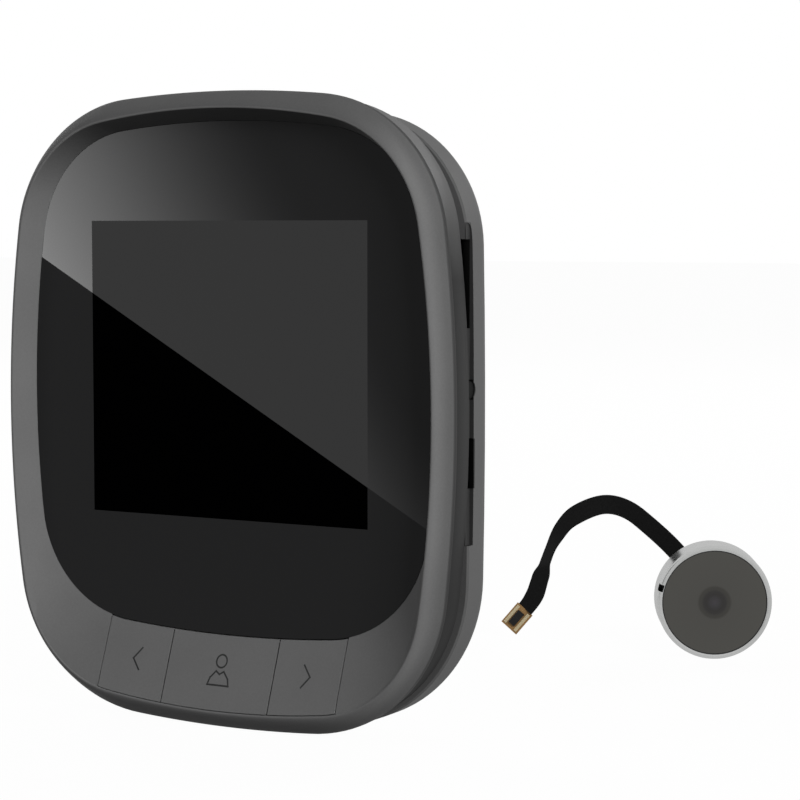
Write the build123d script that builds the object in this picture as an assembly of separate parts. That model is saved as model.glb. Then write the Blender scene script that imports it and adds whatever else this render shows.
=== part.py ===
from build123d import *
import math
import os

# Door viewer set: an indoor monitor that hangs on a door bracket, and a round
# outdoor camera with a flat ribbon. Millimetres, +Z up, the screen faces -Y.
# The origin is the centre of the bracket's tube hole, on the face of the door.

# Largest outline of the monitor, along the widest line of the front lip
body_half_width = 51.2
body_top = 62.1
body_bottom = -62.0
body_waist = 0.2
body_side_radius = 294.0
body_crown_radius = 247.0
body_base_radius = 285.0
body_upper_radius = 29.2
body_lower_radius = 31.0

# Crest of the front lip, drawn in from the outline above
crest_side_inset = 2.35
crest_top_inset = 3.15
crest_bottom_inset = 3.35
crest_width = 0.4
crest_side_radius = 236.0
crest_crown_radius = 154.0
crest_base_radius = 191.0
crest_upper_radius = 24.5
crest_lower_radius = 24.6

# Glass window, sunk into the dished front
window_side_inset = 4.75
window_top_inset = 5.7
chin_height = 18.1
window_half_width = body_half_width - window_side_inset
window_top = body_top - window_top_inset
window_bottom = body_bottom + chin_height
window_waist = 3.0
window_side_radius = 219.0
window_crown_radius = 198.0
window_base_radius = 264.0
window_upper_radius = 23.0
window_lower_radius = 23.4

# Rear cover: straighter sides and squarer corners than the lip
rear_side_inset = 0.8
rear_top_inset = 1.8
rear_bottom_inset = 0.7
rear_half_width = body_half_width - rear_side_inset
rear_top = body_top - rear_top_inset
rear_bottom = body_bottom + rear_bottom_inset
rear_side_radius = 1500.0
rear_crown_radius = 150.0
rear_base_radius = 300.0
rear_upper_radius = 26.0
rear_lower_radius = 30.0

# Depths, from the face of the door towards the room
door_gap = 0.6
rear_depth = 8.95
frame_depth = 5.95
joint_gap = 0.05
window_to_frame = 0.4
lip_depth = 1.4
dish_depth = 5.25
back_y = -door_gap
rear_front_y = back_y - rear_depth
frame_back_y = rear_front_y - joint_gap
frame_front_y = frame_back_y - frame_depth
bezel_back_y = frame_front_y - joint_gap
window_y = bezel_back_y - window_to_frame
lip_y = bezel_back_y - lip_depth
crest_y = window_y - dish_depth

# Walls and the fits that all pieces share
wall = 2.0
fit_gap = 0.3
slip_gap = 0.15
bond_gap = 0.05
overrun = 2.0
frame_inset = 0.9
groove_inset = 0.8
groove_width = 1.2
plate_thickness = 2.35
plate_back_y = bezel_back_y + plate_thickness

# Screen
glass_thickness = 1.2
mask_thickness = 0.15
visible_width = 64.1
visible_height = 58.3
visible_centre_z = 8.0
panel_width = 69.0
panel_height = 65.0
panel_thickness = 1.3
light_thickness = 1.2
tray_wall = 0.4
tray_flange = 1.5
tray_sheet = 0.3
glass_back_y = window_y + glass_thickness
mask_back_y = glass_back_y + mask_thickness
panel_back_y = mask_back_y + panel_thickness
light_back_y = panel_back_y + light_thickness
tray_back_y = light_back_y + tray_sheet

# Keys on the chin
key_outer_x = 27.9
key_inner_x = 12.45
key_gap = 0.3
key_edge_gap = 0.2
key_thickness = 2.0
key_travel = 0.5
key_tongue = 0.8
key_tongue_thickness = 0.9
key_post_radius = 1.75
key_drop = 6.1
key_z = window_bottom - key_drop
mark_depth = 0.12
mark_width = 0.34

# Boards
board_thickness = 1.2
board_left_margin = 4.4
board_right_margin = 1.2
board_top_margin = 16.3
board_low_rise = 0.9
board_left = wall + board_left_margin - rear_half_width
board_right = rear_half_width - wall - board_right_margin
board_low = window_bottom + board_low_rise
board_high = rear_top - wall - board_top_margin
board_corner = 4.0
board_front_y = -8.5
board_back_y = board_front_y + board_thickness
key_board_half_width = 33.0
key_board_below = 5.0
key_board_above = 3.4
key_board_low = key_z - key_board_below
key_board_high = key_z + key_board_above
key_board_front_y = -11.0
key_board_thickness = 1.0
key_board_back_y = key_board_front_y + key_board_thickness
switch_side = 6.0
switch_height = 3.0

# Screws and their bosses
screw_radius = 1.0
screw_fit = 0.05
screw_head_radius = 1.8
screw_head_height = 1.3
boss_radius = 2.4
housing_boss_side = 15.2
housing_boss_drop = 15.1
housing_boss_rise = 15.0
housing_boss_x = body_half_width - housing_boss_side
housing_boss_high_z = body_top - housing_boss_drop
housing_boss_low_z = body_bottom + housing_boss_rise
board_boss_gap = 0.65
board_boss_x = (panel_width / 2 + bond_gap + tray_wall + tray_flange + boss_radius
                + board_boss_gap)
board_boss_high_z = 38.5
board_boss_low_z = -38.0

# Ports on the right-hand side
port_y = -9.25
bay_depth = 0.9
bay_floor_x = rear_half_width - bay_depth
bay_half_width = 1.35
bay_low = -23.8
bay_high = 36.7
card_z = 25.3
card_slot_length = 16.6
card_slot_height = 2.7
usb_y = -8.5
usb_z = -8.4
usb_slot_length = 9.4
usb_slot_height = 2.1
button_y = -8.95
button_z = 5.5
button_hole_radius = 1.75
button_gap = 0.12
button_travel = 0.5

# Door bracket
bracket_half_width = 20.0
bracket_half_height = 22.0
bracket_thickness = 1.2
bracket_corner = 4.0
tube_radius = 7.25
bracket_screw_radius = 1.75
bracket_screw_x = 6.0
bracket_screw_z = 17.0
hook_x = 14.0
hook_upper_z = 8.0
hook_lower_z = -16.0
hook_width = 8.0
hook_finger = 4.0
lift_travel = 6.0
recess_depth = 2.0
recess_wall = 1.8

# Outdoor camera, standing on its rim behind the monitor's right side
floor_z = body_bottom
ring_radius = 13.0
ring_thickness = 10.0
ring_round = 1.0
ring_face = 1.1
camera_x = 54.0
camera_y = 102.35
camera_turn = 28.0
cover_glass_thickness = 1.4
lens_radius = 2.35
barrel_lens_radius = 3.3
barrel_radius = 6.0
barrel_wall = 1.7
barrel_end = 12.5
gasket_thickness = 0.65

# Flat ribbon and its connector
ribbon_width = 4.6
ribbon_thickness = 0.45
ribbon_roll = 20.0
ribbon_route = [
    (48.131, 113.386, -49.0),
    (45.502, 118.331, -49.0),
    (41.2, 121.4, -45.6),
    (35.35, 121.6, -39.97),
    (29.89, 120.8, -35.41),
    (25.6, 119.2, -31.75),
    (20.85, 117.2, -30.25),
    (16.59, 115.0, -31.49),
    (11.99, 112.4, -34.52),
    (9.6, 109.4, -40.39),
    (8.9, 107.1, -44.6),
    (8.5, 105.2, -48.4),
    (8.15, 103.1, -52.5),
    (6.31, 102.0, -55.0),
]
plug_width = 4.8
plug_length = 6.0
plug_thickness = 0.4


def make_outline(half_width, top, bottom, waist, side, crown, base, upper, lower):
    """An egg-like rounded outline of eight tangent arcs, as named sizes."""
    return dict(half_width=half_width, top=top, bottom=bottom, waist=waist,
                side=side, crown=crown, base=base, upper=upper, lower=lower)


def shrink(shape, margin):
    """The parallel outline that lies inside by margin."""
    return make_outline(shape["half_width"] - margin, shape["top"] - margin,
                        shape["bottom"] + margin, shape["waist"],
                        shape["side"] - margin, shape["crown"] - margin,
                        shape["base"] - margin, shape["upper"] - margin,
                        shape["lower"] - margin)


body_outline = make_outline(body_half_width, body_top, body_bottom, body_waist,
                            body_side_radius, body_crown_radius, body_base_radius,
                            body_upper_radius, body_lower_radius)
crest_outline = make_outline(body_half_width - crest_side_inset,
                             body_top - crest_top_inset,
                             body_bottom + crest_bottom_inset, body_waist,
                             crest_side_radius, crest_crown_radius,
                             crest_base_radius, crest_upper_radius,
                             crest_lower_radius)
dish_outline = shrink(crest_outline, crest_width)
window_outline = make_outline(window_half_width, window_top, window_bottom,
                              window_waist, window_side_radius,
                              window_crown_radius, window_base_radius,
                              window_upper_radius, window_lower_radius)
frame_outline = shrink(body_outline, frame_inset)
rear_outline = make_outline(rear_half_width, rear_top, rear_bottom, body_waist,
                            rear_side_radius, rear_crown_radius,
                            rear_base_radius, rear_upper_radius,
                            rear_lower_radius)


def corner_centre(shape, upper):
    """Centre of the right-hand corner arc, which touches the side and end arcs."""
    side_x = shape["half_width"] - shape["side"]
    side_z = shape["waist"]
    corner = shape["upper"] if upper else shape["lower"]
    end = shape["crown"] if upper else shape["base"]
    end_z = shape["top"] - end if upper else shape["bottom"] + end
    from_side = shape["side"] - corner
    from_end = end - corner
    run_x = -side_x
    run_z = end_z - side_z
    run = math.hypot(run_x, run_z)
    along = (from_side ** 2 - from_end ** 2 + run ** 2) / (2 * run)
    away = math.sqrt(from_side ** 2 - along ** 2)
    mid_x = side_x + along * run_x / run
    mid_z = side_z + along * run_z / run
    first = (mid_x - away * run_z / run, mid_z + away * run_x / run)
    second = (mid_x + away * run_z / run, mid_z - away * run_x / run)
    return max(first, second)


def on_arc(centre, radius, towards):
    """The point of an arc that lies from its centre in the direction of towards."""
    dx = towards[0] - centre[0]
    dz = towards[1] - centre[1]
    length = math.hypot(dx, dz)
    return (centre[0] + radius * dx / length, centre[1] + radius * dz / length)


def arc_middle(centre, radius, start, end):
    """The point halfway along a short arc from start to end."""
    middle = ((start[0] + end[0]) / 2, (start[1] + end[1]) / 2)
    return on_arc(centre, radius, middle)


def outline_wire(shape, y):
    """The closed wire of an outline, standing in the XZ plane at depth y."""
    side_centre = (shape["half_width"] - shape["side"], shape["waist"])
    upper = corner_centre(shape, True)
    lower = corner_centre(shape, False)
    crown_centre = (0, shape["top"] - shape["crown"])
    base_centre = (0, shape["bottom"] + shape["base"])
    high = on_arc(upper, shape["upper"], (2 * upper[0] - crown_centre[0],
                                          2 * upper[1] - crown_centre[1]))
    high_side = on_arc(upper, shape["upper"], (2 * upper[0] - side_centre[0],
                                               2 * upper[1] - side_centre[1]))
    low_side = on_arc(lower, shape["lower"], (2 * lower[0] - side_centre[0],
                                              2 * lower[1] - side_centre[1]))
    low = on_arc(lower, shape["lower"], (2 * lower[0] - base_centre[0],
                                         2 * lower[1] - base_centre[1]))
    upper_mid = arc_middle(upper, shape["upper"], high, high_side)
    lower_mid = arc_middle(lower, shape["lower"], low_side, low)
    side_mid = (shape["half_width"], shape["waist"])

    def at(point, sign=1):
        return Vector(sign * point[0], y, point[1])

    arcs = [
        (at(high, -1), at((0, shape["top"])), at(high)),
        (at(high), at(upper_mid), at(high_side)),
        (at(high_side), at(side_mid), at(low_side)),
        (at(low_side), at(lower_mid), at(low)),
        (at(low), at((0, shape["bottom"])), at(low, -1)),
        (at(low, -1), at(lower_mid, -1), at(low_side, -1)),
        (at(low_side, -1), at(side_mid, -1), at(high_side, -1)),
        (at(high_side, -1), at(upper_mid, -1), at(high, -1)),
    ]
    return Wire([Edge.make_three_point_arc(*arc) for arc in arcs])


def slab(shape, front, back):
    """An upright slab of an outline, from depth front to depth back."""
    return extrude(Face(outline_wire(shape, front)), back - front, dir=(0, 1, 0))


def tapered(steps):
    """A solid through outlines given as pairs of outline and depth."""
    return Solid.make_loft([outline_wire(shape, y) for shape, y in steps], True)


def block(left, right, front, back, low, high):
    """A box given by its six faces."""
    middle = Pos((left + right) / 2, (front + back) / 2, (low + high) / 2)
    return middle * Box(right - left, back - front, high - low)


def rod_y(x, z, radius, front, back):
    """A round rod along Y."""
    return Pos(x, (front + back) / 2, z) * Rot(90, 0, 0) * Cylinder(radius, back - front)


def rod_x(y, z, radius, left, right):
    """A round rod along X."""
    return Pos((left + right) / 2, y, z) * Rot(0, 90, 0) * Cylinder(radius, right - left)


def rounded_plate(left, right, low, high, corner, front, back):
    """A flat plate with rounded corners, standing in the XZ plane."""
    face = Rectangle(right - left, high - low)
    face = fillet(face.vertices(), corner)
    middle = Pos((left + right) / 2, back, (low + high) / 2)
    return middle * Rot(90, 0, 0) * extrude(face, back - front)


def save(name, *solids):
    """Write one sub-part, as one solid or as a group of separate solids."""
    pieces = [solid for item in solids for solid in item.solids()]
    shape = pieces[0] if len(pieces) == 1 else Compound(children=pieces)
    export_step(shape, "parts/" + name + ".step")


# Places that more than one piece shares

housing_screw_places = [(side * housing_boss_x, z)
                        for side in (-1, 1)
                        for z in (housing_boss_low_z, housing_boss_high_z)]
board_screw_places = [(side * board_boss_x, z)
                      for side in (-1, 1)
                      for z in (board_boss_low_z, board_boss_high_z)]
key_ranges = {
    "left": (-key_outer_x + key_edge_gap, -key_inner_x - key_gap / 2),
    "centre": (-key_inner_x + key_gap / 2, key_inner_x - key_gap / 2),
    "right": (key_inner_x + key_gap / 2, key_outer_x - key_edge_gap),
}
key_centres = {name: sum(ends) / 2 for name, ends in key_ranges.items()}
hook_places = [(side * hook_x, z) for side in (-1, 1) for z in (hook_lower_z, hook_upper_z)]
panel_low = visible_centre_z - panel_height / 2
panel_high = visible_centre_z + panel_height / 2


def dish(shift=0.0):
    """The hollow of the front: from the crest down to the window and the chin."""
    steps = [(dish_outline, crest_y - overrun + shift),
             (dish_outline, crest_y + shift),
             (window_outline, window_y + shift)]
    return tapered(steps)


def chin_ring(front, back, edge):
    """The upright band between the window and the crest, less an edge gap."""
    outer = slab(shrink(dish_outline, edge), front, back)
    return outer - slab(shrink(window_outline, -edge), front - overrun, back + overrun)


def key_tongue_places():
    """Depths and heights of the two tongues that hold a key in the bezel."""
    lower_front = crest_y + key_thickness + key_tongue
    lower_z = dish_outline["bottom"] + key_edge_gap
    upper_front = plate_back_y + fit_gap
    upper_z = window_bottom - key_edge_gap
    return lower_front, lower_z, upper_front, upper_z


# Front bezel: lip, dished front, chin with the key opening, plate and bosses

def front_bezel():
    lip_mid = shrink(body_outline, crest_side_inset * 0.42)
    shell = tapered([(shrink(body_outline, fit_gap), bezel_back_y),
                     (body_outline, lip_y),
                     (lip_mid, (lip_y + crest_y) / 2 - lip_depth / 4),
                     (crest_outline, crest_y)])
    plate_outline = shrink(frame_outline, wall + slip_gap)
    shell += slab(plate_outline, bezel_back_y, plate_back_y)
    shell -= dish()
    shell -= slab(window_outline, window_y, glass_back_y + bond_gap)
    half = panel_width / 2 + slip_gap + tray_wall
    shell -= block(-half, half, window_y, plate_back_y + overrun,
                   panel_low - slip_gap - tray_wall, panel_high + slip_gap + tray_wall)
    field = chin_ring(crest_y - overrun, plate_back_y + overrun, 0.0)
    shell -= field & block(-key_outer_x, key_outer_x, crest_y - overrun,
                           plate_back_y + overrun, dish_outline["bottom"] - overrun,
                           window_bottom / 2)
    lower_front, lower_z, _, _ = key_tongue_places()
    for left, right in key_ranges.values():
        reach = slab(shrink(dish_outline, -key_tongue - fit_gap), crest_y, plate_back_y)
        shell -= reach & block(left - key_edge_gap / 2, right + key_edge_gap / 2,
                               lower_front - fit_gap,
                               lower_front + key_tongue_thickness + key_travel + fit_gap,
                               lower_z - key_tongue - overrun, window_bottom - overrun)
    for x, z in housing_screw_places:
        shell += rod_y(x, z, boss_radius, plate_back_y, housing_seat_y)
        shell -= rod_y(x, z, screw_radius + screw_fit, housing_tip_y - fit_gap, housing_seat_y)
    for x, z in board_screw_places:
        shell += rod_y(x, z, boss_radius, plate_back_y, board_front_y)
        shell -= rod_y(x, z, screw_radius + screw_fit, board_tip_y - fit_gap, board_front_y)
    for side in (-1, 1):
        shell += rod_y(side * key_board_post_x, key_board_post_z, key_board_post_radius,
                       plate_back_y, key_board_front_y)
        shell += rod_y(side * key_board_post_x, key_board_post_z, key_board_pin_radius,
                       key_board_front_y, key_board_back_y + fit_gap)
    save("front_bezel", shell)


housing_seat_depth = 0.45
housing_seat_y = rear_front_y + housing_seat_depth
housing_tip_y = -12.6
board_tip_y = -12.4
key_board_post_x = 30.4
key_board_post_drop = 1.5
key_board_post_z = key_z - key_board_post_drop
key_board_post_radius = 1.6
key_board_pin_radius = 0.7


# Mid frame: the darker band between the bezel and the rear cover

def mid_frame():
    step_y = frame_front_y + groove_width
    ring = slab(frame_outline, step_y, frame_back_y)
    ring += slab(shrink(frame_outline, groove_inset), frame_front_y, step_y)
    ring -= slab(shrink(frame_outline, wall), frame_front_y - overrun, frame_back_y + overrun)
    save("mid_frame", ring)


def port_openings():
    """What is cut through the cover's side for the card, the plug and the button."""
    inner = rear_half_width - wall - overrun
    outer = body_half_width + overrun
    card = block(inner, outer, port_y - card_slot_height / 2, port_y + card_slot_height / 2,
                 card_z - card_slot_length / 2, card_z + card_slot_length / 2)
    plug = block(inner, outer, usb_y - usb_slot_height / 2, usb_y + usb_slot_height / 2,
                 usb_z - usb_slot_length / 2, usb_z + usb_slot_length / 2)
    hole = rod_x(button_y, button_z, button_hole_radius, inner, outer)
    return card + plug + hole


def port_bay():
    """The shallow channel that the ports lie in, with a round top end."""
    top = bay_high - bay_half_width
    channel = block(bay_floor_x, body_half_width + overrun, port_y - bay_half_width,
                    port_y + bay_half_width, bay_low, top)
    return channel + rod_x(port_y, top, bay_half_width, bay_floor_x, body_half_width + overrun)


# Rear cover: rounded tray with the bracket recess, posts, grille and port bay

rear_edge = 0.35
rear_round = 3.6
grille_slot_length = 13.0
grille_slot_height = 1.2
grille_pitch = 2.6
grille_slots = 5
speaker_rise = 17.3
speaker_z = rear_bottom + speaker_rise
ribbon_port_width = 16.0
ribbon_port_height = 12.0


def rear_shell():
    """The tray: straight sides, rounded back edge, even wall."""
    outer = slab(rear_outline, rear_front_y, back_y)
    outer = fillet(outer.faces().sort_by(Axis.Y)[-1].edges(), rear_round)
    outer = chamfer(outer.faces().sort_by(Axis.Y)[0].edges(), rear_edge)
    inner = slab(shrink(rear_outline, wall), rear_front_y, back_y - wall)
    inner = fillet(inner.faces().sort_by(Axis.Y)[-1].edges(), rear_round - wall)
    return outer - inner - slab(shrink(rear_outline, wall), rear_front_y - overrun, rear_front_y)


def recess_box(grow, front, back):
    """The room that the bracket needs at rest and when the monitor is lifted."""
    half = bracket_half_width + door_gap + grow
    low = -bracket_half_height - lift_travel - door_gap - grow
    high = bracket_half_height + door_gap + grow
    return rounded_plate(-half, half, low, high, bracket_corner + grow, front, back)


recess_floor_y = back_y - recess_depth
recess_inner_y = recess_floor_y - recess_wall
hook_front_y = recess_inner_y - fit_gap - bracket_thickness


def hook_slot(x, z):
    """The slot that a bracket hook reaches through, long enough to lift off."""
    half = hook_width / 2 + fit_gap
    top = z + bracket_thickness + fit_gap
    low = top - bracket_thickness - hook_finger - lift_travel / 2 - fit_gap
    return block(x - half, x + half, recess_inner_y - overrun, recess_floor_y + overrun / 2,
                 low, top)


def rear_cover():
    cover = rear_shell()
    cover += recess_box(recess_wall, recess_inner_y, back_y - wall)
    cover -= recess_box(0.0, recess_floor_y, back_y + overrun)
    for x, z in hook_places:
        cover -= hook_slot(x, z)
    cover -= block(-ribbon_port_width / 2, ribbon_port_width / 2,
                   recess_inner_y - overrun, recess_floor_y + overrun / 2,
                   -ribbon_port_height / 2, ribbon_port_height / 2)
    cover -= port_openings()
    cover -= port_bay()
    for x, z in housing_screw_places:
        cover += rod_y(x, z, boss_radius + slip_gap, housing_seat_y + joint_gap, back_y - wall / 2)
        cover -= rod_y(x, z, screw_head_radius + slip_gap, housing_head_y, back_y + overrun)
        cover -= rod_y(x, z, screw_radius + slip_gap, housing_seat_y - overrun, housing_head_y)
    for index in range(grille_slots):
        z = speaker_z + (index - (grille_slots - 1) / 2) * grille_pitch
        cover -= block(-grille_slot_length / 2, grille_slot_length / 2,
                       back_y - wall - overrun / 2, back_y + overrun,
                       z - grille_slot_height / 2, z + grille_slot_height / 2)
    save("rear_cover", cover)


housing_head_y = -4.4

# Four thin pads that rest against the door

pad_radius = 3.0
pad_x = 30.0
pad_high_z = 33.0
pad_low_z = -36.0


def rear_pads():
    pads = [rod_y(side * pad_x, z, pad_radius, back_y, 0.0)
            for side in (-1, 1) for z in (pad_low_z, pad_high_z)]
    save("rear_pads", *pads)


# Screen stack: glass, printed mask, panel, backlight and steel tray

def screen():
    glass_outline = shrink(window_outline, bond_gap)
    save("display_window", slab(glass_outline, window_y, glass_back_y))
    mask = slab(shrink(window_outline, slip_gap), glass_back_y, glass_back_y + bond_gap)
    half_width = visible_width / 2
    low = visible_centre_z - visible_height / 2
    high = visible_centre_z + visible_height / 2
    mask -= block(-half_width, half_width, glass_back_y - overrun, mask_back_y + overrun,
                  low, high)
    save("window_mask", mask)
    half = panel_width / 2
    save("lcd_panel", block(-half, half, glass_back_y + bond_gap, panel_back_y,
                            panel_low, panel_high))
    save("backlight", block(-half, half, panel_back_y, light_back_y, panel_low, panel_high))
    outer = half + bond_gap + tray_wall
    tray = block(-outer, outer, plate_back_y + joint_gap, tray_back_y,
                 panel_low - bond_gap - tray_wall, panel_high + bond_gap + tray_wall)
    rim = outer + tray_flange
    tray += block(-rim, rim, plate_back_y + joint_gap, plate_back_y + joint_gap + tray_sheet,
                  panel_low - bond_gap - tray_wall - tray_flange,
                  panel_high + bond_gap + tray_wall + tray_flange)
    tray -= block(-half - bond_gap, half + bond_gap, plate_back_y - overrun, light_back_y,
                  panel_low - bond_gap, panel_high + bond_gap)
    save("screen_tray", tray)


# Keys: three caps in the chin, each with two tongues, a post and a plunger

def key_cap(left, right, centre_x):
    """A cap whose face follows the chin, with its tongues and its post."""
    field = chin_ring(crest_y - overrun, plate_back_y + overrun, key_edge_gap)
    low = dish_outline["bottom"] - overrun
    column = block(left, right, crest_y - overrun, plate_back_y + overrun, low,
                   window_bottom / 2)
    face = dish(key_thickness) - dish()
    back = block(left, right, window_y + key_thickness / 2, plate_back_y + fit_gap
                 + key_tongue_thickness, window_bottom - key_thickness, window_bottom)
    cap = face & field & column
    cap += back & chin_ring(crest_y, plate_back_y + overrun, key_edge_gap)
    lower_front, lower_z, upper_front, upper_z = key_tongue_places()
    reach = slab(shrink(dish_outline, -key_tongue), crest_y, plate_back_y)
    cap += reach & block(left + key_gap, right - key_gap, lower_front,
                         lower_front + key_tongue_thickness, lower_z - key_tongue - overrun,
                         lower_z + key_thickness * 2.5)
    cap += block(left + key_gap, right - key_gap, upper_front,
                 upper_front + key_tongue_thickness, upper_z - key_thickness,
                 upper_z + key_tongue)
    cap += rod_y(centre_x, key_z, key_post_radius, key_face_y(key_z) + key_thickness / 2,
                 stem_front_y)
    return cap


def key_face_y(z):
    """Depth of the chin's surface at height z, on the middle line."""
    share = (window_bottom - z) / (window_bottom - dish_outline["bottom"])
    return window_y - share * dish_depth


switch_front_y = key_board_front_y - switch_height
stem_out = 0.8
stem_in = 0.6
stem_front_y = switch_front_y - stem_out
mark_height = 4.1
mark_reach = 1.7
mark_x = 19.9
person_head_radius = 1.2
person_head_rise = 1.1
person_base_drop = 3.4
person_shoulder_drop = 0.8
person_head_z = key_z + person_head_rise
person_base_z = key_z - person_base_drop
person_shoulder_z = key_z - person_shoulder_drop
person_half_width = 2.45


def stroke(points, front, back):
    """A thin bent line of even width, cut straight back through a face."""
    bars = []
    for start, end in zip(points, points[1:]):
        middle = ((start[0] + end[0]) / 2, (start[1] + end[1]) / 2)
        length = math.hypot(end[0] - start[0], end[1] - start[1]) + mark_width
        turn = math.degrees(math.atan2(end[1] - start[1], end[0] - start[0]))
        bar = Box(length, back - front, mark_width)
        bars.append(Pos(middle[0], (front + back) / 2, middle[1]) * Rot(0, -turn, 0) * bar)
    return bars


def arrow(sign):
    """An arrow head that points to the left or the right."""
    x = sign * mark_x
    return [(x - sign * mark_reach / 2, key_z + mark_height / 2),
            (x + sign * mark_reach / 2, key_z),
            (x - sign * mark_reach / 2, key_z - mark_height / 2)]


def inlay(bars):
    """The thin lines of a mark, flush with the face of the chin."""
    lines = bars[0]
    for bar in bars[1:]:
        lines += bar
    return lines & (dish(mark_depth) - dish())


def keys():
    for name, (left, right) in key_ranges.items():
        cap = key_cap(left, right, key_centres[name])
        front = crest_y - overrun
        back = plate_back_y
        sign = -1 if name == "left" else 1
        bars = person_mark(front, back) if name == "centre" else stroke(arrow(sign), front, back)
        mark = inlay(bars)
        save(name + "_mark", mark)
        save(name + "_button", cap - mark)
        stem = rod_y(key_centres[name], key_z, key_post_radius,
                     stem_front_y, switch_front_y + stem_in)
        save(name + "_plunger", stem)


def person_mark(front, back):
    """A plain head and shoulders, drawn in one thin line."""
    ring = rod_y(0.0, person_head_z, person_head_radius + mark_width / 2, front, back)
    ring -= rod_y(0.0, person_head_z, person_head_radius - mark_width / 2,
                  front - overrun, back + overrun)
    neck = person_head_radius * 0.75
    points = [(-person_half_width, person_base_z),
              (-person_half_width * 0.84, (person_base_z + person_shoulder_z) / 2),
              (-neck, person_shoulder_z),
              (0.0, person_shoulder_z - mark_width * 1.6),
              (neck, person_shoulder_z),
              (person_half_width * 0.84, (person_base_z + person_shoulder_z) / 2),
              (person_half_width, person_base_z)]
    base = [points[0], points[-1]]
    return [ring] + stroke(points, front, back) + stroke(base, front, back)


# Key board with its three push switches, and the flat flex to the main board

switch_fit = 0.12


def key_board():
    board = rounded_plate(-key_board_half_width, key_board_half_width, key_board_low,
                          key_board_high, board_corner / 2, key_board_front_y,
                          key_board_back_y)
    for side in (-1, 1):
        board -= rod_y(side * key_board_post_x, key_board_post_z,
                       key_board_pin_radius + screw_fit,
                       key_board_front_y - overrun, key_board_back_y + overrun)
    save("key_board", board)
    half = switch_side / 2
    switches = []
    for x in key_centres.values():
        body = block(x - half, x + half, switch_front_y, key_board_front_y,
                     key_z - half, key_z + half)
        well = stem_in + key_travel + fit_gap
        body -= rod_y(x, key_z, key_post_radius + switch_fit, switch_front_y - overrun,
                      switch_front_y + well)
        switches.append(body)
    save("key_switches", *switches)


flex_width = 8.0
flex_thickness = 0.2
flex_x = -8.0
flex_landing = 4.0
flex_slope = 1.0
screen_flex_width = 20.0


def bent_strip(x, width, points, thickness):
    """A thin flat strip that follows points given as depth and height."""
    line = FilletPolyline(*[(x, y, z) for y, z in points], radius=thickness * 3)
    start = Vector(x, *points[0])
    along = Vector(x, *points[1]) - start
    section = Plane(origin=start, x_dir=(1, 0, 0), z_dir=along) * Rectangle(width, thickness)
    return sweep(section, path=line)


def flexes():
    lift = flex_thickness / 2
    key_points = [(key_board_back_y + lift, key_board_high - flex_landing),
                  (key_board_back_y + lift, board_low + flex_slope),
                  (board_front_y - lift, board_low + flex_slope * 2),
                  (board_front_y - lift, board_low + flex_landing * 2)]
    save("key_flex", bent_strip(flex_x, flex_width, key_points, flex_thickness))
    turn_z = panel_low - flex_landing
    screen_points = [(tray_back_y + lift, panel_low + flex_landing * 2),
                     (tray_back_y + lift, turn_z),
                     (board_front_y - lift, turn_z - flex_slope),
                     (board_front_y - lift, turn_z - flex_landing)]
    save("lcd_flex", bent_strip(flex_width, screen_flex_width, screen_points, flex_thickness))


# Main board with its chips, sockets and the side switch

chip_height = 1.0
processor_side = 10.0
memory_length = 8.0
memory_width = 6.0
power_chip_side = 5.0
usb_depth = 5.4
usb_width = 7.6
usb_height = 2.6
shell_sheet = 0.3
card_depth = 14.2
card_width = 14.6
card_height = 1.9
socket_inset = 0.7
card_socket_inset = 2.2
socket_x = rear_half_width - wall - socket_inset
card_socket_x = rear_half_width - wall - card_socket_inset


def main_board():
    board = rounded_plate(board_left, board_right, board_low, board_high, board_corner,
                          board_front_y, board_back_y)
    board &= slab(shrink(rear_outline, wall + fit_gap), board_front_y, board_back_y)
    board -= block(socket_x - usb_depth - joint_gap, board_right + overrun,
                   board_front_y - overrun, board_back_y + overrun,
                   usb_z - usb_width / 2 - joint_gap, usb_z + usb_width / 2 + joint_gap)
    for x, z in board_screw_places:
        board -= rod_y(x, z, screw_radius + slip_gap, board_front_y - overrun,
                       board_back_y + overrun)
    save("main_board", board)
    chips = []
    for x, z, length, width in chip_places():
        chips.append(block(x - length / 2, x + length / 2, board_front_y - chip_height,
                           board_front_y, z - width / 2, z + width / 2))
    save("board_chips", *chips)


def chip_places():
    """Chips between the screen and the board, as x, z, length and width."""
    return [(-processor_side, processor_side, processor_side, processor_side),
            (processor_side, processor_side, memory_length, memory_width),
            (-processor_side, -processor_side, memory_width, memory_length),
            (board_right - processor_side * 2, -processor_side * 2, power_chip_side,
             power_chip_side),
            (processor_side, -processor_side, power_chip_side, power_chip_side)]


def sockets():
    front = board_front_y - card_height
    left = card_socket_x - card_depth
    shell = block(left, card_socket_x, front, board_front_y, card_z - card_width / 2,
                  card_z + card_width / 2)
    shell -= block(left + wall, card_socket_x + overrun, front + shell_sheet,
                   board_front_y - shell_sheet, card_z - card_width / 2 + wall / 2,
                   card_z + card_width / 2 - wall / 2)
    save("card_socket", shell)
    front = usb_y - usb_height / 2
    back = usb_y + usb_height / 2
    left = socket_x - usb_depth
    shell = block(left, socket_x, front, back, usb_z - usb_width / 2,
                  usb_z + usb_width / 2)
    shell -= block(left + wall / 2, socket_x + overrun, front + shell_sheet,
                   back - shell_sheet, usb_z - usb_width / 2 + shell_sheet,
                   usb_z + usb_width / 2 - shell_sheet)
    save("usb_socket", shell)
    tongue_half = usb_height / 8
    save("usb_tongue", block(left + wall / 2, socket_x - wall / 2, usb_y - tongue_half,
                             usb_y + tongue_half, usb_z - usb_width / 3,
                             usb_z + usb_width / 3))


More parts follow.
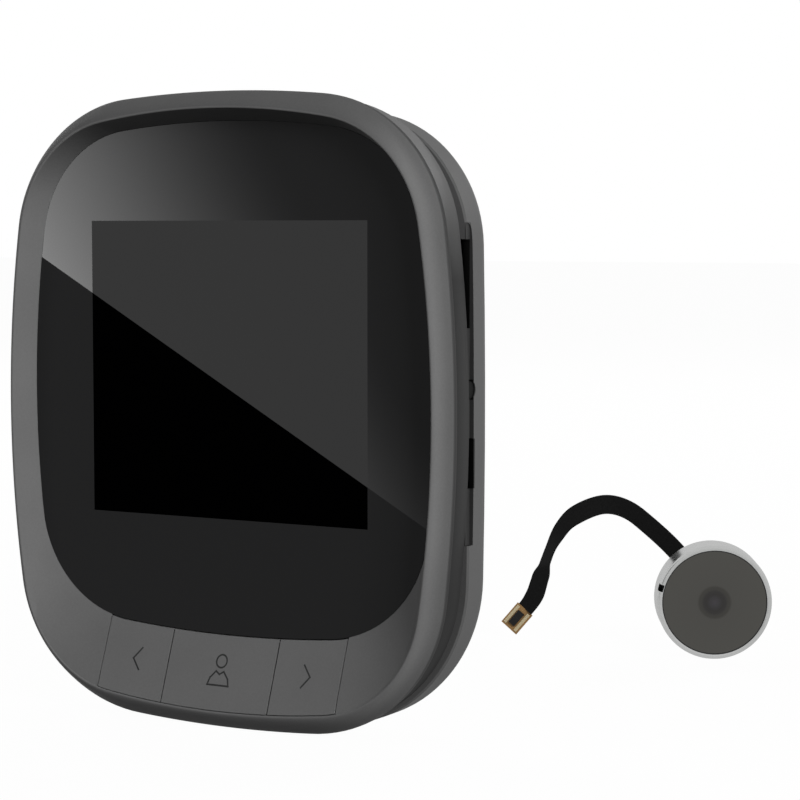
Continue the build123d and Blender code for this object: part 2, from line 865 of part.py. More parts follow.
button_sink = 0.3
button_flange_gap = 0.55
button_face_x = rear_half_width - button_sink
button_flange_x = rear_half_width - wall - button_flange_gap
button_flange_radius = 2.9
button_flange_thickness = 0.8
side_stem_radius = 0.9
side_switch_inset = 1.0
side_switch_x = board_right - side_switch_inset
side_switch_height = 2.8
side_switch_y = board_front_y - side_switch_height / 2
side_switch_depth = 3.0
side_switch_length = 6.0


def side_button():
    cap = rod_x(button_y, button_z, button_hole_radius - button_gap, button_flange_x,
                button_face_x)
    cap -= block(button_flange_x - overrun, button_face_x + overrun,
                 button_y - button_hole_radius - overrun, rear_front_y + slip_gap,
                 button_z - button_hole_radius, button_z + button_hole_radius)
    flange = rod_x(side_switch_y, button_z, button_flange_radius,
                   button_flange_x - button_flange_thickness, button_flange_x)
    flange -= block(board_right - overrun, button_face_x, board_front_y - fit_gap,
                    back_y, button_z - button_flange_radius - overrun,
                    button_z + button_flange_radius + overrun)
    cap += flange
    save("power_button", cap)
    stem_left = side_switch_x - stem_in
    save("power_plunger", rod_x(side_switch_y, button_z, side_stem_radius, stem_left,
                                button_flange_x - button_flange_thickness))
    body = block(side_switch_x - side_switch_depth, side_switch_x,
                 board_front_y - side_switch_height, board_front_y,
                 button_z - side_switch_length / 2, button_z + side_switch_length / 2)
    body -= rod_x(side_switch_y, button_z, side_stem_radius + switch_fit,
                  stem_left - button_travel - fit_gap, side_switch_x + overrun)
    save("side_switch", body)


camera_socket_width = 7.0
camera_socket_height = 4.0
camera_socket_depth = 1.6


def camera_socket():
    half = camera_socket_width / 2
    body = block(-half, half, board_back_y, board_back_y + camera_socket_depth,
                 -camera_socket_height / 2, camera_socket_height / 2)
    body -= block(-half + shell_sheet * 2, half - shell_sheet * 2,
                  board_back_y + camera_socket_depth / 2,
                  board_back_y + camera_socket_depth + overrun,
                  -camera_socket_height / 4, camera_socket_height / 4)
    save("camera_socket", body)


# Battery and speaker, behind the main board

battery_half_width = 27.0
battery_height = 28.0
battery_drop = 5.3
battery_high = rear_top - wall - battery_drop
battery_low = battery_high - battery_height
battery_corner = 2.5
speaker_radius = 10.0
speaker_rim = 1.2
speaker_height = 4.2
magnet_radius = 6.0
magnet_height = 2.0
cone_sheet = 0.4


def battery():
    save("battery_pack", rounded_plate(-battery_half_width, battery_half_width,
                                       battery_low, battery_high, battery_corner,
                                       board_back_y + slip_gap,
                                       back_y - wall - slip_gap * 2))
    plug_x = -battery_half_width + plug_block
    lead = [block(plug_x - plug_block / 2, plug_x + plug_block / 2, board_back_y,
                  board_back_y + plug_block / 2, -plug_block / 2, plug_block / 2)]
    length = battery_low - plug_block / 2
    for side in (-1, 1):
        x = plug_x + side * lead_radius * 1.5
        z = (battery_low + plug_block / 2) / 2
        lead.append(Pos(x, board_back_y + lead_radius, z) * Cylinder(lead_radius, length))
    save("battery_lead", *lead)


lead_radius = 0.6
plug_block = 5.0


def speaker():
    back = back_y - wall - slip_gap
    front = back - speaker_height
    basket = rod_y(0.0, speaker_z, speaker_radius, front + magnet_height, back)
    basket -= rod_y(0.0, speaker_z, speaker_radius - speaker_rim,
                    front + magnet_height + speaker_rim, back + overrun)
    save("speaker_basket", basket)
    save("speaker_magnet", rod_y(0.0, speaker_z, magnet_radius, front,
                                 front + magnet_height))
    cone_front = back - cone_sheet * 2
    cone = rod_y(0.0, speaker_z, speaker_radius - speaker_rim - bond_gap,
                 cone_front, cone_front + cone_sheet)
    cone += rod_y(0.0, speaker_z, magnet_radius / 2,
                  front + magnet_height + speaker_rim, cone_front)
    save("speaker_cone", cone)


# Screws

def screw(x, z, tip, seat):
    """A small screw whose head lies behind its seat."""
    body = rod_y(x, z, screw_radius, tip, seat)
    body += rod_y(x, z, screw_head_radius, seat, seat + screw_head_height)
    slot = block(x - screw_head_radius, x + screw_head_radius,
                 seat + screw_head_height / 2, seat + screw_head_height + overrun,
                 z - screw_radius / 4, z + screw_radius / 4)
    across = block(x - screw_radius / 4, x + screw_radius / 4,
                   seat + screw_head_height / 2, seat + screw_head_height + overrun,
                   z - screw_head_radius, z + screw_head_radius)
    tool = rod_y(x, z, screw_radius, seat, seat + screw_head_height + overrun)
    return body - ((slot + across) & tool)


def screws():
    save("housing_screws", *[screw(x, z, housing_tip_y, housing_head_y)
                             for x, z in housing_screw_places])
    save("board_screws", *[screw(x, z, board_tip_y, board_back_y)
                           for x, z in board_screw_places])


# Door bracket: a pressed steel plate with four hooks and the tube hole

def bracket_hook(x, z):
    """A tab that reaches through the recess floor and turns up behind it."""
    half = hook_width / 2
    tab = block(x - half, x + half, hook_front_y, -bracket_thickness, z,
                z + bracket_thickness)
    finger = block(x - half, x + half, hook_front_y, hook_front_y + bracket_thickness,
                   z, z + bracket_thickness + hook_finger)
    return tab + finger


def door_bracket():
    plate = rounded_plate(-bracket_half_width, bracket_half_width, -bracket_half_height,
                          bracket_half_height, bracket_corner, -bracket_thickness, 0.0)
    for x, z in hook_places:
        plate += bracket_hook(x, z)
        plate -= block(x - hook_width / 2, x + hook_width / 2,
                       -bracket_thickness - overrun / 2, overrun,
                       z - hook_finger, z)
    plate -= rod_y(0.0, 0.0, tube_radius, -bracket_thickness - overrun, overrun)
    for side in (-1, 1):
        for end in (-1, 1):
            plate -= rod_y(side * bracket_screw_x, end * bracket_screw_z,
                           bracket_screw_radius, -bracket_thickness - overrun, overrun)
    save("door_bracket", plate)


# Outdoor camera, made upright about its own axis and then stood in its place

camera_place = Pos(camera_x, camera_y, floor_z + ring_radius) * Rot(0, 0, camera_turn)
ring_front = -ring_thickness / 2
ring_back = ring_thickness / 2
glass_sink = 0.3
glass_radius = ring_radius - ring_face
glass_front = ring_front + glass_sink
glass_rear = glass_front + cover_glass_thickness
ledge_radius = glass_radius - 1.0
notch_height = 1.5
notch_width = 0.8
notch_depth = 2.4
notch_turn = 15.0


def turned(points):
    """A body of revolution about the camera's axis, from radius and depth."""
    profile = Polyline(*[(radius, depth, 0) for radius, depth in points], close=True)
    return revolve(Face(Wire(profile.edges())), Axis.Y)


def camera_ring():
    outer = [(glass_radius, ring_front + glass_sink * 0.4)]
    outer.append((glass_radius + glass_sink, ring_front))
    steps = 5
    for index in range(steps + 1):
        angle = math.radians(90.0 * index / steps)
        outer.append((ring_radius - ring_round * 0.6 + ring_round * 0.6 * math.sin(angle),
                      ring_front + ring_round - ring_round * math.cos(angle)))
    outer += [(ring_radius, ring_back - ring_round / 2),
              (ring_radius - ring_round / 2, ring_back),
              (ledge_radius, ring_back),
              (ledge_radius, glass_rear + bond_gap),
              (glass_radius, glass_rear + bond_gap)]
    ring = turned(outer)
    notch = block(-ring_radius - overrun, -ring_radius + notch_width,
                  ring_front - overrun, ring_front + notch_depth,
                  -notch_height / 2, notch_height / 2)
    ring -= Rot(0, notch_turn, 0) * notch
    save("camera_ring", camera_place * ring)
    glass = rod_y(0.0, 0.0, glass_radius - bond_gap, glass_front, glass_rear)
    save("camera_glass", camera_place * glass)


lens_front = 0.25
lens_length = 3.6
lens_sink = 0.4
sensor_side = 3.5
sensor_height = 0.7
board_sheet = 0.8
cap_sheet = 1.0


def camera_inside():
    body_front = glass_rear + bond_gap * 2
    housing = rod_y(0.0, 0.0, ledge_radius - bond_gap, body_front, ring_back)
    housing += rod_y(0.0, 0.0, barrel_radius, ring_back, barrel_end)
    housing -= rod_y(0.0, 0.0, barrel_radius - barrel_wall, body_front - overrun,
                     barrel_end + overrun)
    save("camera_housing", camera_place * housing)
    front = body_front + lens_front
    back = front + lens_length
    lens_tube = rod_y(0.0, 0.0, barrel_lens_radius, front, back)
    lens_tube += rod_y(0.0, 0.0, barrel_radius - barrel_wall - bond_gap,
                       back - lens_length / 2, back)
    lens_tube -= rod_y(0.0, 0.0, lens_radius, front - overrun, back + overrun)
    save("lens_barrel", camera_place * lens_tube)
    lens = rod_y(0.0, 0.0, lens_radius - bond_gap, front + lens_sink,
                 back - sensor_height - lens_sink)
    save("lens_element", camera_place * lens)
    half = sensor_side / 2 - slip_gap
    sensor = block(-half, half, back - sensor_height, back, -half, half)
    save("image_sensor", camera_place * sensor)
    board = rod_y(0.0, 0.0, barrel_radius - barrel_wall - bond_gap, back,
                  back + board_sheet)
    save("camera_board", camera_place * board)
    cap = rod_y(0.0, 0.0, barrel_radius - barrel_wall - bond_gap,
                barrel_end - cap_sheet, barrel_end)
    roll = Rot(0, -ribbon_roll, 0)
    cap -= roll * Box(ribbon_width + slip_gap * 2, overrun * barrel_end,
                      ribbon_thickness + slip_gap * 2)
    save("barrel_cap", camera_place * cap)
    tail_front = back + board_sheet
    tail = Pos(0, (tail_front + barrel_end) / 2, 0) * Box(
        ribbon_width, barrel_end - tail_front, ribbon_thickness)
    save("ribbon_root", camera_place * roll * tail)
    gasket = rod_y(0.0, 0.0, ledge_radius, ring_back, ring_back + gasket_thickness)
    gasket -= rod_y(0.0, 0.0, barrel_radius + bond_gap, ring_back - overrun,
                    ring_back + gasket_thickness + overrun)
    save("camera_gasket", camera_place * gasket)


# Ribbon: straight runs and tangent arcs through the route, and its connector

def route_radii(points):
    """Corner radii: 0.45 of the shorter run, over the tangent of half the turn."""
    radii = []
    for before, here, after in zip(points, points[1:], points[2:]):
        first = Vector(here) - Vector(before)
        second = Vector(after) - Vector(here)
        half_turn = math.radians(first.get_angle(second)) / 2
        radii.append(0.45 * min(first.length, second.length) / math.tan(half_turn))
    return radii


def ribbon():
    radii = route_radii(ribbon_route)
    print("ribbon radii", [round(radius, 1) for radius in radii])
    path = FilletPolyline(*ribbon_route, radius=radii)
    start = Vector(ribbon_route[0])
    along = Vector(ribbon_route[1]) - start
    turn = math.radians(camera_turn)
    roll = math.radians(ribbon_roll)
    across = Vector(math.cos(turn) * math.cos(roll), math.sin(turn) * math.cos(roll),
                    math.sin(roll))
    plane = Plane(origin=start, x_dir=across, z_dir=along)
    strip = sweep(plane * Rectangle(ribbon_width, ribbon_thickness), path=path)
    length = path.length
    share = strip.volume / (ribbon_width * ribbon_thickness * length)
    print("ribbon length", round(length, 1), "volume share", round(share, 3))
    save("ribbon_cable", strip)


def connector():
    end = Vector(ribbon_route[-1])
    back = Vector(ribbon_route[-2]) - end
    across = Vector(0, 1, 0).cross(back)
    place = Plane(origin=end, x_dir=across, z_dir=back)
    sheet = Pos(0, 0, -plug_length / 2) * Box(plug_width, plug_thickness, plug_length)
    save("connector_board", place * sheet)
    face = -plug_thickness / 2
    inner_width = plug_width * 0.36
    inner_length = plug_length * 0.62
    raised = plug_thickness * 1.5
    body = block(-inner_width / 2, inner_width / 2, face - raised, face,
                 -plug_length / 2 - inner_length / 2, -plug_length / 2 + inner_length / 2)
    save("connector_body", place * body)
    strips = []
    pin_sheet = plug_thickness / 4
    for side in (-1, 1):
        x = side * plug_width * 0.34
        strips.append(block(x - plug_width * 0.08, x + plug_width * 0.08, face - pin_sheet,
                            face, -plug_length * 0.93, -plug_length * 0.07))
    save("connector_contacts", *[place * strip for strip in strips])


os.makedirs("parts", exist_ok=True)
front_bezel()
mid_frame()
rear_cover()
rear_pads()
screen()
keys()
key_board()
flexes()
main_board()
sockets()
side_button()
camera_socket()
battery()
speaker()
screws()
door_bracket()
camera_ring()
camera_inside()
ribbon()
connector()
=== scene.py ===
import math

import bmesh
import bpy
from mathutils import Matrix, Vector


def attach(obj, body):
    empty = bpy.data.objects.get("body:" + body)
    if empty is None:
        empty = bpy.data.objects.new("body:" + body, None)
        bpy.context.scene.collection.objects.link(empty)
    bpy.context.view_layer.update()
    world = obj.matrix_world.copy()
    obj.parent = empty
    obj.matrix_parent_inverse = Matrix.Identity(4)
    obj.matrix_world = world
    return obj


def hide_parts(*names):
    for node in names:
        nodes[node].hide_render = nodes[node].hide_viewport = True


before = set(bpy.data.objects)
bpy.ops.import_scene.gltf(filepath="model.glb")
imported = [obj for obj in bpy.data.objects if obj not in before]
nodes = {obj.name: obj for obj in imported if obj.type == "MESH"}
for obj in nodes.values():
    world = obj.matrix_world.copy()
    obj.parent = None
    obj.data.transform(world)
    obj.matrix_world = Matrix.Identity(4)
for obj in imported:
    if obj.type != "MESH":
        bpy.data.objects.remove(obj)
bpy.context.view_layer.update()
MM = 0.001


# Rear cover: the moulded tray of the indoor unit, dark grey plastic with a satin grain.
# The card slot, the plug slot and the key's hole are cut through its right-hand wall,
# in the floor of a shallow channel, and four rubber pads are glued to its back.

def new_material(name):
    """An empty material with its node tree and its principled shader."""
    material = bpy.data.materials.new(name)
    material.use_nodes = True
    tree = material.node_tree
    return material, tree, tree.nodes["Principled BSDF"]


def add(tree, kind, **settings):
    """A node of a kind, with its settings given by name."""
    node = tree.nodes.new("ShaderNode" + kind)
    for key, value in settings.items():
        setattr(node, key, value)
    return node


def math_node(tree, operation, *values):
    """A math node whose inputs are numbers or sockets."""
    node = add(tree, "Math", operation=operation)
    for index, value in enumerate(values):
        if isinstance(value, (int, float)):
            node.inputs[index].default_value = value
        else:
            tree.links.new(value, node.inputs[index])
    return node.outputs[0]


def ramp_node(tree, factor, stops):
    """A colour ramp through stops of position and colour."""
    node = add(tree, "ValToRGB")
    while len(node.color_ramp.elements) < len(stops):
        node.color_ramp.elements.new(0.5)
    for element, (position, colour) in zip(node.color_ramp.elements, stops):
        element.position = position
        element.color = (*colour, 1.0)
    tree.links.new(factor, node.inputs["Fac"])
    return node.outputs["Color"]


def object_place(tree):
    """Object coordinates split into X, Y and Z."""
    split = add(tree, "SeparateXYZ")
    tree.links.new(add(tree, "TexCoord").outputs["Object"], split.inputs[0])
    return split.outputs


def open_group(name, takes, gives):
    """An empty node group with named inputs and outputs."""
    group = bpy.data.node_groups.new(name, "ShaderNodeTree")
    for label, kind in takes:
        group.interface.new_socket(label, in_out="INPUT", socket_type="NodeSocket" + kind)
    for label, kind in gives:
        group.interface.new_socket(label, in_out="OUTPUT", socket_type="NodeSocket" + kind)
    return group, group.nodes.new("NodeGroupInput"), group.nodes.new("NodeGroupOutput")


def moulding_grain():
    """Fine spark-eroded grain, slow mottling and the bump normal of the fine grain."""
    group, start, end = open_group(
        "moulding_grain", (("Fine Size", "Float"), ("Slow Size", "Float"), ("Depth", "Float")),
        (("Fine", "Float"), ("Slow", "Float"), ("Normal", "Vector")))
    place = add(group, "TexCoord")
    fine = add(group, "TexNoise")
    slow = add(group, "TexNoise")
    bump = add(group, "Bump")
    fine.inputs["Detail"].default_value = 3.0
    slow.inputs["Detail"].default_value = 2.0
    bump.inputs["Distance"].default_value = 0.0001
    link = group.links.new
    link(place.outputs["Object"], fine.inputs["Vector"])
    link(place.outputs["Object"], slow.inputs["Vector"])
    link(start.outputs["Fine Size"], fine.inputs["Scale"])
    link(start.outputs["Slow Size"], slow.inputs["Scale"])
    link(start.outputs["Depth"], bump.inputs["Strength"])
    link(fine.outputs["Fac"], bump.inputs["Height"])
    link(fine.outputs["Fac"], end.inputs["Fine"])
    link(slow.outputs["Fac"], end.inputs["Slow"])
    link(bump.outputs["Normal"], end.inputs["Normal"])
    return group


def box_mask():
    """One inside a box given by its centre and its half size, and nought outside."""
    group, start, end = open_group(
        "box_mask", (("Place", "Vector"), ("Centre", "Vector"), ("Half", "Vector")),
        (("Inside", "Float"),))
    away = add(group, "VectorMath", operation="SUBTRACT")
    share = add(group, "VectorMath", operation="DIVIDE")
    size = add(group, "VectorMath", operation="ABSOLUTE")
    split = add(group, "SeparateXYZ")
    link = group.links.new
    link(start.outputs["Place"], away.inputs[0])
    link(start.outputs["Centre"], away.inputs[1])
    link(away.outputs[0], share.inputs[0])
    link(start.outputs["Half"], share.inputs[1])
    link(share.outputs[0], size.inputs[0])
    link(size.outputs[0], split.inputs[0])
    widest = math_node(group, "MAXIMUM", split.outputs[0],
                       math_node(group, "MAXIMUM", split.outputs[1], split.outputs[2]))
    link(math_node(group, "LESS_THAN", widest, 1.0), end.inputs["Inside"])
    return group


grain_group = moulding_grain()
box_group = box_mask()


def grained(name, dark, light, rough, fine=2500.0, slow=40.0, depth=0.1, **constants):
    """A material whose colour drifts between two tones, with a fine grain."""
    material, tree, shader = new_material(name)
    node = add(tree, "Group", node_tree=grain_group)
    node.inputs["Fine Size"].default_value = fine
    node.inputs["Slow Size"].default_value = slow
    node.inputs["Depth"].default_value = depth
    fine_share = 0.4
    slow_share = 0.6
    rough_drift = 0.06
    mixed = math_node(tree, "MULTIPLY_ADD", node.outputs["Fine"], fine_share,
                      math_node(tree, "MULTIPLY", node.outputs["Slow"], slow_share))
    colour = ramp_node(tree, mixed, [(0.3, dark), (0.7, light)])
    tree.links.new(colour, shader.inputs["Base Color"])
    drift = math_node(tree, "MULTIPLY_ADD", node.outputs["Slow"], 2 * rough_drift,
                      rough - rough_drift)
    tree.links.new(drift, shader.inputs["Roughness"])
    tree.links.new(node.outputs["Normal"], shader.inputs["Normal"])
    for key, value in constants.items():
        shader.inputs[key.replace("_", " ")].default_value = value
    return material


def paint_shade(material, amount, share):
    """Paint shade into a material: multiply its colour by share where the amount is one."""
    tree = material.node_tree
    shader = tree.nodes["Principled BSDF"]
    colour = shader.inputs["Base Color"].links[0].from_socket
    mix = add(tree, "Mix", data_type="RGBA", blend_type="MULTIPLY")
    tree.links.new(amount, mix.inputs[0])
    tree.links.new(colour, mix.inputs[6])
    mix.inputs[7].default_value = (share, share, share, 1.0)
    tree.links.new(mix.outputs[2], shader.inputs["Base Color"])


def paint_box_shade(material, boxes, share=0.02, place=None):
    """Paint shade into a material inside boxes, in millimetres as (low, high) for X, Y and Z."""
    tree = material.node_tree
    place = place or add(tree, "TexCoord").outputs["Object"]
    total = None
    for box in boxes:
        node = add(tree, "Group", node_tree=box_group)
        tree.links.new(place, node.inputs["Place"])
        node.inputs["Centre"].default_value = [(low + high) / 2 * MM for low, high in box]
        node.inputs["Half"].default_value = [(high - low) / 2 * MM for low, high in box]
        inside = node.outputs["Inside"]
        total = inside if total is None else math_node(tree, "MAXIMUM", inside, total)
    paint_shade(material, total, share)


def dress(material, *names):
    """Give pieces of the frame their material."""
    for name in names:
        data = nodes[name].data
        data.materials.clear()
        data.materials.append(material)


# The channel and its openings, as boxes with their low and high X, Y and Z in millimetres
channel = ((49.3, 50.36), (-9.7, -7.85), (-23.85, 36.75))
card_slot = ((46.0, 49.45), (-9.65, -7.85), (16.95, 33.65))
plug_slot = ((46.0, 50.15), (-9.65, -7.4), (-13.15, -3.65))
key_hole = ((46.0, 50.2), (-9.65, -7.1), (3.6, 7.4))
channel_shade = 0.36
cover_plastic = grained("cover_plastic", (0.092,) * 3, (0.112,) * 3, 0.5, depth=0.1,
                        Specular_IOR_Level=0.3)
# Painted shade: the channel is toned down, and the insides of the slots and the key's hole are
# painted near black.
paint_box_shade(cover_plastic, (channel,), channel_shade)
paint_box_shade(cover_plastic, (card_slot, plug_slot, key_hole))
pad_rubber = grained("pad_rubber", (0.018,) * 3, (0.030,) * 3, 0.8, depth=0.3)
dress(cover_plastic, "rear_cover")
dress(pad_rubber, "rear_pads")


# Door bracket: a pressed steel plate that is fixed to the door round the viewer's tube.
# Its hooks reach into slots in the rear cover. The housing's and the boards' screws are
# bright steel too.

steel = grained("steel", (0.42, 0.43, 0.44), (0.56, 0.57, 0.58), 0.34, fine=1200.0,
                depth=0.15, Metallic=1.0)
dress(steel, "door_bracket", "housing_screws", "board_screws")


# Battery and speaker, both stuck to the inside of the rear cover: a pouch cell in grey
# wrap with its lead, and a small speaker with a plastic basket, a magnet and a paper cone.

battery_wrap = grained("battery_wrap", (0.30, 0.32, 0.35), (0.38, 0.40, 0.43), 0.35)
cone_paper = grained("cone_paper", (0.020,) * 3, (0.035,) * 3, 0.85, depth=0.4)
black_plastic = grained("black_plastic", (0.012,) * 3, (0.020,) * 3, 0.45)
dress(battery_wrap, "battery_pack")
dress(pad_rubber, "battery_lead")
dress(cone_paper, "speaker_cone")
dress(black_plastic, "speaker_basket")
dress(steel, "speaker_magnet")


# Boards: green glass-fibre boards with black chips and sockets soldered on, and two amber
# flexes. Where the main board's edge lies behind a slot, shade is painted into its colour.

behind_card_slot = ((43.0, 52.0), (-20.0, 0.0), (15.0, 36.0))
behind_plug_slot = ((43.0, 52.0), (-20.0, 0.0), (-15.0, -2.0))
board_shade = 0.05
board_green = grained("board_green", (0.010, 0.070, 0.030), (0.018, 0.110, 0.045), 0.4)
# Painted shade on the board's edge behind the card slot and the plug slot
paint_box_shade(board_green, (behind_card_slot, behind_plug_slot), board_shade)
flex_amber = grained("flex_amber", (0.30, 0.12, 0.02), (0.42, 0.18, 0.03), 0.35)
dress(board_green, "main_board", "key_board")
dress(flex_amber, "lcd_flex", "key_flex")
dress(black_plastic, "board_chips", "card_socket", "usb_socket", "usb_tongue",
      "camera_socket", "side_switch", "key_switches")


# Mid frame: the plastic band between the rear cover and the front bezel, clamped
# by the housing screws. Shade is painted into its colour: darkest along the seam with the
# bezel, and none over the upper corners, where it runs level with the cover.

seam_y = -15.6
seam_reach = 4.5
seam_shade_share = 0.5
corner_z = 46.0
corner_run = 20.0
band_shade_share = 0.25
band_plastic = grained("band_plastic", (0.140,) * 3, (0.162,) * 3, 0.55, depth=0.08,
                       Specular_IOR_Level=0.15)
band_tree = band_plastic.node_tree
band_place = object_place(band_tree)
shade_below_corner = math_node(band_tree, "DIVIDE", math_node(
    band_tree, "SUBTRACT", corner_z * MM, band_place["Z"]), corner_run * MM)
shade_below_corner.node.use_clamp = True
from_seam = math_node(band_tree, "DIVIDE", math_node(
    band_tree, "SUBTRACT", band_place["Y"], seam_y * MM), seam_reach * MM)
shade_near_seam = math_node(band_tree, "SUBTRACT", 1.0, from_seam)
shade_near_seam.node.use_clamp = True
# Painted shade: the band is toned down below the upper corners, and further along the seam
paint_shade(band_plastic, shade_below_corner, band_shade_share)
paint_shade(band_plastic, math_node(band_tree, "MULTIPLY", shade_near_seam, shade_below_corner), seam_shade_share)
dress(band_plastic, "mid_frame")


# Front bezel: one moulding in the cover's grey plastic, with a rounded raised lip, a
# dished wall that runs down to the window, and an opening in the chin for the keys. It
# clips on the mid frame. Shade is painted behind its rim at the seam and over its top.

KEYS = ("half", "top", "bottom", "waist", "side", "crown", "base", "upper", "lower")
BODY = dict(zip(KEYS, (51.2, 62.1, -62.0, 0.2, 294.0, 247.0, 285.0, 29.2, 31.0)))
CREST = dict(zip(KEYS, (48.85, 58.95, -58.65, 0.2, 236.0, 154.0, 191.0, 24.5, 24.6)))
WINDOW = dict(zip(KEYS, (46.45, 56.4, -43.9, 3.0, 219.0, 198.0, 264.0, 23.0, 23.4)))
window_y = -16.0
crest_y = -21.25
lip_y = -17.0
bezel_back_y = seam_y
pocket_y = -14.75
plate_back_y = -13.25
crest_width = 0.4
plate_inset = 3.05
pocket_margin = 3.0
key_edge = 27.9
key_columns = 14
other_columns = 110
end_steps = 120
corner_steps = 200
side_steps = 240


def shrink(shape, margin):
    """The parallel outline that lies inside by margin."""
    signs = dict(zip(KEYS, (-1, -1, 1, 0, -1, -1, -1, -1, -1)))
    return {key: value + signs[key] * margin for key, value in shape.items()}


def between(first, second, share):
    """The outline that lies a share of the way from first to second."""
    return {key: first[key] + share * (second[key] - first[key]) for key in KEYS}


def corner_centre(shape, end_z, end, corner):
    """Centre of the right-hand corner arc that touches the side and end arcs."""
    side_x = shape["half"] - shape["side"]
    from_side = shape["side"] - corner
    from_end = end - corner
    run_x = -side_x
    run_z = end_z - shape["waist"]
    run = math.hypot(run_x, run_z)
    along = (from_side ** 2 - from_end ** 2 + run ** 2) / (2 * run)
    away = math.sqrt(from_side ** 2 - along ** 2)
    mid_x = side_x + along * run_x / run
    mid_z = shape["waist"] + along * run_z / run
    return max((mid_x - away * run_z / run, mid_z + away * run_x / run),
               (mid_x + away * run_z / run, mid_z - away * run_x / run))


def arc(centre, radius, start, end, steps):
    """Points of an arc between two angles."""
    return [(centre[0] + radius * math.cos(start + (end - start) * index / steps),
             centre[1] + radius * math.sin(start + (end - start) * index / steps))
            for index in range(steps + 1)]


def right_half(shape):
    """Dense points of the right half, from the bottom middle to the top middle."""
    top_z = shape["top"] - shape["crown"]
    base_z = shape["bottom"] + shape["base"]
    upper = corner_centre(shape, top_z, shape["crown"], shape["upper"])
    lower = corner_centre(shape, base_z, shape["base"], shape["lower"])
    side_x = shape["half"] - shape["side"]
    base_turn = math.atan2(lower[1] - base_z, lower[0])
    low_turn = math.atan2(lower[1] - shape["waist"], lower[0] - side_x)
    high_turn = math.atan2(upper[1] - shape["waist"], upper[0] - side_x)
    top_turn = math.atan2(upper[1] - top_z, upper[0])
    waist = (side_x, shape["waist"])
    points = arc((0, base_z), shape["base"], -math.pi / 2, base_turn, end_steps)
    points += arc(lower, shape["lower"], base_turn, low_turn, corner_steps)[1:]
    points += arc(waist, shape["side"], low_turn, high_turn, side_steps)[1:]
    points += arc(upper, shape["upper"], high_turn, top_turn, corner_steps)[1:]
    return points + arc((0, top_z), shape["crown"], top_turn, math.pi / 2, end_steps)[1:]


def at_share(points, lengths, share):
    """The point that lies a share of the way along the points."""
    goal = lengths[-1] * share
    index = max(next(i for i, length in enumerate(lengths) if length >= goal - 1e-9), 1)
    span = lengths[index] - lengths[index - 1]
    part = (goal - lengths[index - 1]) / span if span else 0.0
    first, second = points[index - 1], points[index]
    return (first[0] + part * (second[0] - first[0]), first[1] + part * (second[1] - first[1]))


def at_x(points, x):
    """The point of the right half at a given X, found from the bottom middle on."""
    index = max(next(i for i, point in enumerate(points) if point[0] >= x), 1)
    first, second = points[index - 1], points[index]
    share = (x - first[0]) / (second[0] - first[0])
    return (x, first[1] + share * (second[1] - first[1]))


def outline_points(shape):
    """Matching points round the whole outline, anticlockwise from the bottom middle.

    Below the keys, matching points share their X, so that the key edges are upright."""
    points = right_half(shape)
    split = next(i for i, point in enumerate(points) if point[0] >= key_edge)
    right = [at_x(points, key_edge * index / key_columns) for index in range(key_columns)]
    rest = [at_x(points, key_edge)] + points[split:]
    lengths = [0.0]
    for first, second in zip(rest, rest[1:]):
        lengths.append(lengths[-1] + math.dist(first, second))
    right += [at_share(rest, lengths, index / other_columns) for index in range(other_columns + 1)]
    return right + [(-x, z) for x, z in reversed(right[1:-1])]


def closed_loop(mesh, places):
    """A closed ring of vertices and edges through places in metres."""
    ring = [mesh.verts.new(place) for place in places]
    for first, second in zip(ring, ring[1:] + ring[:1]):
        mesh.edges.new((first, second))
    return ring


def draw_on(mesh, ring, places):
    """Extrude a closed ring of edges and set the new ring through places in metres."""
    pairs = zip(ring, ring[1:] + ring[:1])
    edges = [mesh.edges.get(pair) for pair in pairs]
    drawn = bmesh.ops.extrude_edge_only(mesh, edges=edges)["geom"]
    fresh = {item for item in drawn if isinstance(item, bmesh.types.BMVert)}
    following = []
    for vertex, place in zip(ring, places):
        new = next(edge.other_vert(vertex) for edge in vertex.link_edges
                   if edge.other_vert(vertex) in fresh)
        new.co = place
        following.append(new)
    return following


def make_object(name, mesh, material, smooth=True):
    """Finish a bmesh as an object at the origin, with normals outward."""
    bmesh.ops.recalc_face_normals(mesh, faces=mesh.faces)
    data = bpy.data.meshes.new(name)
    mesh.to_mesh(data)
    mesh.free()
    for polygon in data.polygons:
        polygon.use_smooth = smooth
    data.materials.append(material)
    piece = bpy.data.objects.new(name, data)
    bpy.context.collection.objects.link(piece)
    return piece


# The bezel's section, from the back rim over the lip to the dish and back behind the
# window. The rim and the crest are given as inset and depth, the lip as its shares of the
# way out to the body and of the way back to its foot, and the dish as shares of its wall.
rim_steps = ((0.45, 0.0), (0.16, 0.1), (0.03, 0.35), (0.0, 0.9))
lip_steps = ((1.0, 1.0), (0.985, 0.90), (0.95, 0.83), (0.90, 0.75), (0.82, 0.655),
             (0.73, 0.56), (0.62, 0.455), (0.50, 0.345), (0.38, 0.235), (0.27, 0.145),
             (0.17, 0.078), (0.09, 0.035), (0.03, 0.012))
crest_steps = ((0.06, 0.0), (0.16, 0.0), (0.28, 0.03), (0.37, 0.1))
dish_steps = (0.2, 0.4, 0.6, 0.8, 0.96)
dish_drop = 0.2
dish_foot = 0.05
dish_edge = shrink(CREST, crest_width)
plate_edge = shrink(BODY, plate_inset)
pocket_edge = shrink(WINDOW, pocket_margin)
rim_sections = [(shrink(BODY, inset), bezel_back_y - forward) for inset, forward in rim_steps]
lip_sections = [(between(CREST, BODY, out), crest_y + deep * (lip_y - crest_y))
                for out, deep in lip_steps]
crest_sections = [(shrink(CREST, inset), crest_y + deep) for inset, deep in crest_steps]
dish_sections = [(dish_edge, crest_y + dish_drop)]
dish_sections += [(between(dish_edge, WINDOW, share), crest_y + share * (window_y - crest_y))
                  for share in dish_steps]
